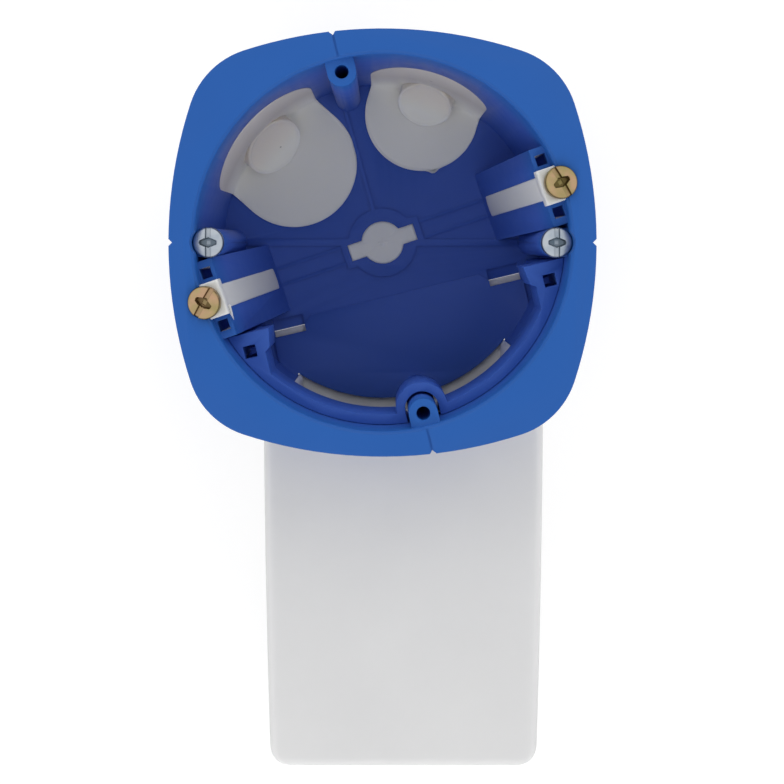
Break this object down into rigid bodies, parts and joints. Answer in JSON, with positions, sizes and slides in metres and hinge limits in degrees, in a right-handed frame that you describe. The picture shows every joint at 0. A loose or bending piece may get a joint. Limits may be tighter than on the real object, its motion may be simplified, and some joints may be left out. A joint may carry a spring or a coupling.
{
  "type": "flush device box",
  "caption": "Round flush device box for hollow walls with a squarish flange, soft cable entries, inclined claw screws and a soft module pocket hanging behind the flange.",
  "frame": {"origin": "on the body's axis, in the wall plane (the back face of the flange)", "axes": "+Z out of the wall towards the user, +Y up the wall (the pocket hangs towards -Y), +X to the right"},
  "size_m": [0.0726, 0.1336, 0.0429],
  "materials": {
    "shell_blue": "satin moulded polypropylene, bright blue",
    "clip_blue": "satin moulded plastic, darker blue",
    "pocket_white": "translucent white soft thermoplastic, satin",
    "soft_white": "translucent natural thermoplastic elastomer, matt",
    "yellow_zinc": "yellow chromated zinc on steel",
    "white_zinc": "bright zinc on steel"
  },
  "bodies": {
    "box": {"housing": "shell_blue", "pocket_retainer": "clip_blue", "module_pocket": "pocket_white", "large_entry_membrane": "soft_white", "small_entry_membrane": "soft_white", "centre_membrane": "soft_white", "claw_seal_left": "soft_white", "claw_seal_right": "soft_white", "device_screw_left": "white_zinc", "device_screw_right": "white_zinc"},
    "left_screw": {"claw_screw_left": "yellow_zinc"},
    "left_claw": {"claw_left": "yellow_zinc"},
    "right_screw": {"claw_screw_right": "yellow_zinc"},
    "right_claw": {"claw_right": "yellow_zinc"}
  },
  "joints": [
    {"name": "left_screw_turn", "type": "hinge", "parent": "box", "child": "left_screw", "pos_m": [-0.03003, -0.01014, 0.0011], "axis": [0.1319, 0.0445, -0.9903], "range_deg": [0, 11520]},
    {"name": "left_claw_travel", "type": "slide", "parent": "box", "child": "left_claw", "axis": [-0.1319, -0.0445, 0.9903], "range_m": [0, 0.016]},
    {"name": "right_screw_turn", "type": "hinge", "parent": "box", "child": "right_screw", "pos_m": [0.03003, 0.01014, 0.0011], "axis": [-0.1319, -0.0445, -0.9903], "range_deg": [0, 11520]},
    {"name": "right_claw_travel", "type": "slide", "parent": "box", "child": "right_claw", "axis": [0.1319, 0.0445, 0.9903], "range_m": [0, 0.016]}
  ],
  "couplings": [
    {"joint": "left_screw_turn", "follows": "left_claw_travel", "rad_per_m": 12566},
    {"joint": "right_screw_turn", "follows": "right_claw_travel", "rad_per_m": 12566}
  ]
}
